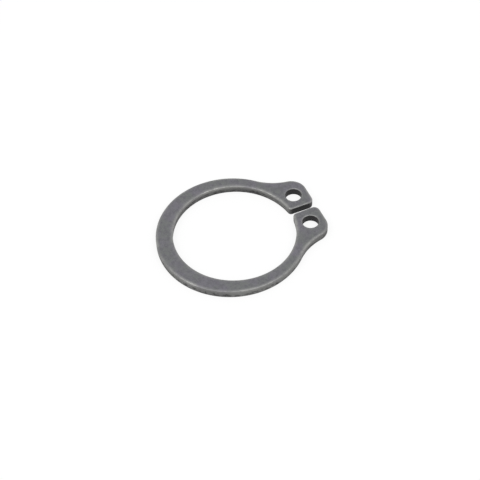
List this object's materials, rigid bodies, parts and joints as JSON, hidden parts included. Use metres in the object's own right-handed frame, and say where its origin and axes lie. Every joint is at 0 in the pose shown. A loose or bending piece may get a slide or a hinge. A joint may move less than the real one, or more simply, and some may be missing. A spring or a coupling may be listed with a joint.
{
  "type": "external retaining ring",
  "caption": "Flat spring-steel retaining ring that tapers towards its gap, with a plier hole in each lug. It snaps into a shaft's groove and stops parts from sliding off.",
  "frame": {"origin": "on the bore's axis, halfway through the thickness", "axes": "+Z out of the face that the punch entered, which has the rolled rims, and +X from the bore's axis through the gap"},
  "size_m": [0.0226, 0.0202, 0.0012],
  "materials": {
    "phosphated_steel": "phosphated and oiled spring steel, dull mid grey, burnished brighter on the rolled rim and the sheared wall"
  },
  "bodies": {
    "root": {"retaining_ring": "phosphated_steel"}
  },
  "joints": []
}
